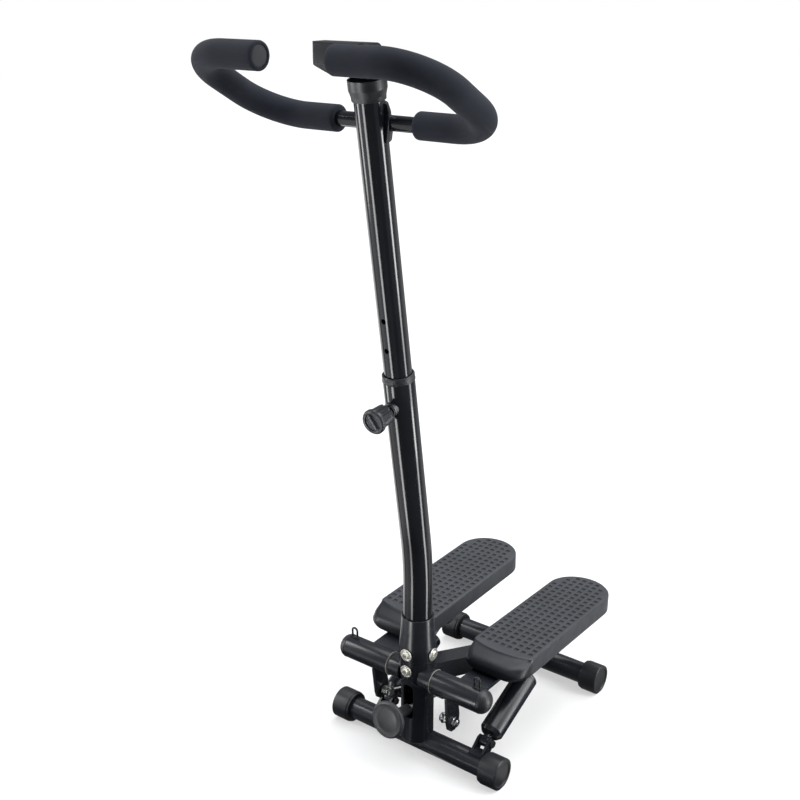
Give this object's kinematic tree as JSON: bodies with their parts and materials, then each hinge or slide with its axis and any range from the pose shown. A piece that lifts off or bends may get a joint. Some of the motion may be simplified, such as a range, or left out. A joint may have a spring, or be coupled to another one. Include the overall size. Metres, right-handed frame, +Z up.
{
  "type": "stepper",
  "caption": "Upright stepper: two rocking pedals linked by a cable, hydraulic resistance, on an H base with a telescopic post, handlebar and console.",
  "frame": {"origin": "on the floor, under the centre of the bounding box", "axes": "+Z up, +Y to the rear, where the user climbs on, +X to the right as seen from the front"},
  "size_m": [0.425, 0.6898, 1.167],
  "materials": {
    "black_paint": "gloss black powder coat",
    "black_plastic": "satin black",
    "grey_plastic": "grained dark grey",
    "foam": "matt black foam",
    "chrome": "bright plate",
    "zinc": "zinc plate",
    "nylon": "natural nylon",
    "window": "smoked clear"
  },
  "bodies": {
    "frame": {"front_stabilizer": "black_paint", "rear_stabilizer": "black_paint", "front_left_foot_cap": "black_plastic", "front_right_foot_cap": "black_plastic", "rear_left_foot_cap": "black_plastic", "rear_right_foot_cap": "black_plastic", "main_beam": "black_paint", "upright": "black_paint", "upright_bolt_lower": "chrome", "upright_bolt_upper": "chrome", "upright_bolt_side": "chrome", "lower_post": "black_paint", "post_bushing": "black_plastic", "pin_seat": "zinc", "pivot_axle": "zinc", "left_cylinder_foot": "black_paint", "left_foot_pin": "zinc", "right_cylinder_foot": "black_paint", "right_foot_pin": "zinc", "pulley_pin": "zinc", "pulley_yoke": "zinc", "pedal_cable": "zinc"},
    "post": {"upper_post": "black_paint", "bar_saddle": "black_paint", "handlebar": "black_paint", "left_foam_grip": "foam", "right_foam_grip": "foam", "left_grip_end_plug": "black_plastic", "right_grip_end_plug": "black_plastic", "console_neck": "black_plastic", "console_housing": "black_plastic", "console_window": "window"},
    "button": {"console_button": "grey_plastic"},
    "pull_pin": {"pull_pin": "black_plastic"},
    "left_pedal": {"left_pivot_sleeve": "black_paint", "left_inner_bush": "nylon", "left_outer_bush": "black_plastic", "left_band_eyelet": "zinc", "left_pedal_arm": "black_paint", "left_pedal": "grey_plastic", "left_cable_lever": "black_paint", "left_cable_bolt": "chrome", "left_cable_eye": "zinc", "left_link_pin": "zinc"},
    "right_pedal": {"right_pivot_sleeve": "black_paint", "right_inner_bush": "nylon", "right_outer_bush": "black_plastic", "right_band_eyelet": "zinc", "right_pedal_arm": "black_paint", "right_pedal": "grey_plastic", "right_cable_lever": "black_paint", "right_cable_bolt": "chrome", "right_cable_eye": "zinc", "right_link_pin": "zinc"},
    "left_cylinder": {"left_cylinder": "black_paint"},
    "left_rod": {"left_cylinder_rod": "chrome"},
    "right_cylinder": {"right_cylinder": "black_paint"},
    "right_rod": {"right_cylinder_rod": "chrome"},
    "pulley": {"cable_pulley": "nylon"},
    "adjuster": {"adjuster_knob": "black_plastic"}
  },
  "joints": [
    {"name": "left_pedal_rock", "type": "hinge", "parent": "frame", "child": "left_pedal", "pos_m": [0, -0.0818, 0.1586], "axis": [1, 0, 0], "range_deg": [-13.4, 10.6]},
    {"name": "right_pedal_rock", "type": "hinge", "parent": "frame", "child": "right_pedal", "pos_m": [0, -0.0818, 0.1586], "axis": [1, 0, 0], "range_deg": [-10.6, 13.4]},
    {"name": "left_cylinder_tilt", "type": "hinge", "parent": "frame", "child": "left_cylinder", "pos_m": [-0.0795, -0.0442, 0.054], "axis": [1, 0, 0], "range_deg": [-14, 11.5]},
    {"name": "left_rod_slide", "type": "slide", "parent": "left_cylinder", "child": "left_rod", "axis": [0, 0.8929, 0.4502], "range_m": [-0.0275, 0.022]},
    {"name": "right_cylinder_tilt", "type": "hinge", "parent": "frame", "child": "right_cylinder", "pos_m": [0.1195, -0.0442, 0.054], "axis": [1, 0, 0], "range_deg": [-11.5, 14]},
    {"name": "right_rod_slide", "type": "slide", "parent": "right_cylinder", "child": "right_rod", "axis": [0, 0.9127, 0.4087], "range_m": [-0.022, 0.0275]},
    {"name": "pulley_spin", "type": "hinge", "parent": "frame", "child": "pulley", "pos_m": [0, 0.0268, 0.07419], "axis": [0, 0.1736, 0.9848], "range_deg": [-45, 45]},
    {"name": "adjuster_turn", "type": "hinge", "parent": "frame", "child": "adjuster", "pos_m": [0, -0.0742, 0.092], "axis": [0, -0.9848, 0.1736], "range_deg": [-360, 360]},
    {"name": "post_height", "type": "slide", "parent": "frame", "child": "post", "axis": [0, -0.1564, 0.9877], "range_m": [-0.1395, 0]},
    {"name": "pin_pull", "type": "slide", "parent": "frame", "child": "pull_pin", "axis": [0, -1, 0], "range_m": [0, 0.01], "stiffness_N_per_m": 600, "springref_m": -0.006},
    {"name": "button_press", "type": "slide", "parent": "post", "child": "button", "axis": [0, -0.661, -0.7504], "range_m": [0, 0.0015], "stiffness_N_per_m": 500, "springref_m": -0.001}
  ],
  "couplings": [
    {"joint": "right_pedal_rock", "follows": "left_pedal_rock", "ratio": -1},
    {"joint": "left_cylinder_tilt", "follows": "left_pedal_rock", "ratio": 0.9407},
    {"joint": "left_rod_slide", "follows": "left_pedal_rock", "m_per_rad": 0.10981},
    {"joint": "right_cylinder_tilt", "follows": "left_pedal_rock", "ratio": -0.9386},
    {"joint": "right_rod_slide", "follows": "left_pedal_rock", "m_per_rad": -0.11109},
    {"joint": "pulley_spin", "follows": "left_pedal_rock", "ratio": -2.38}
  ]
}
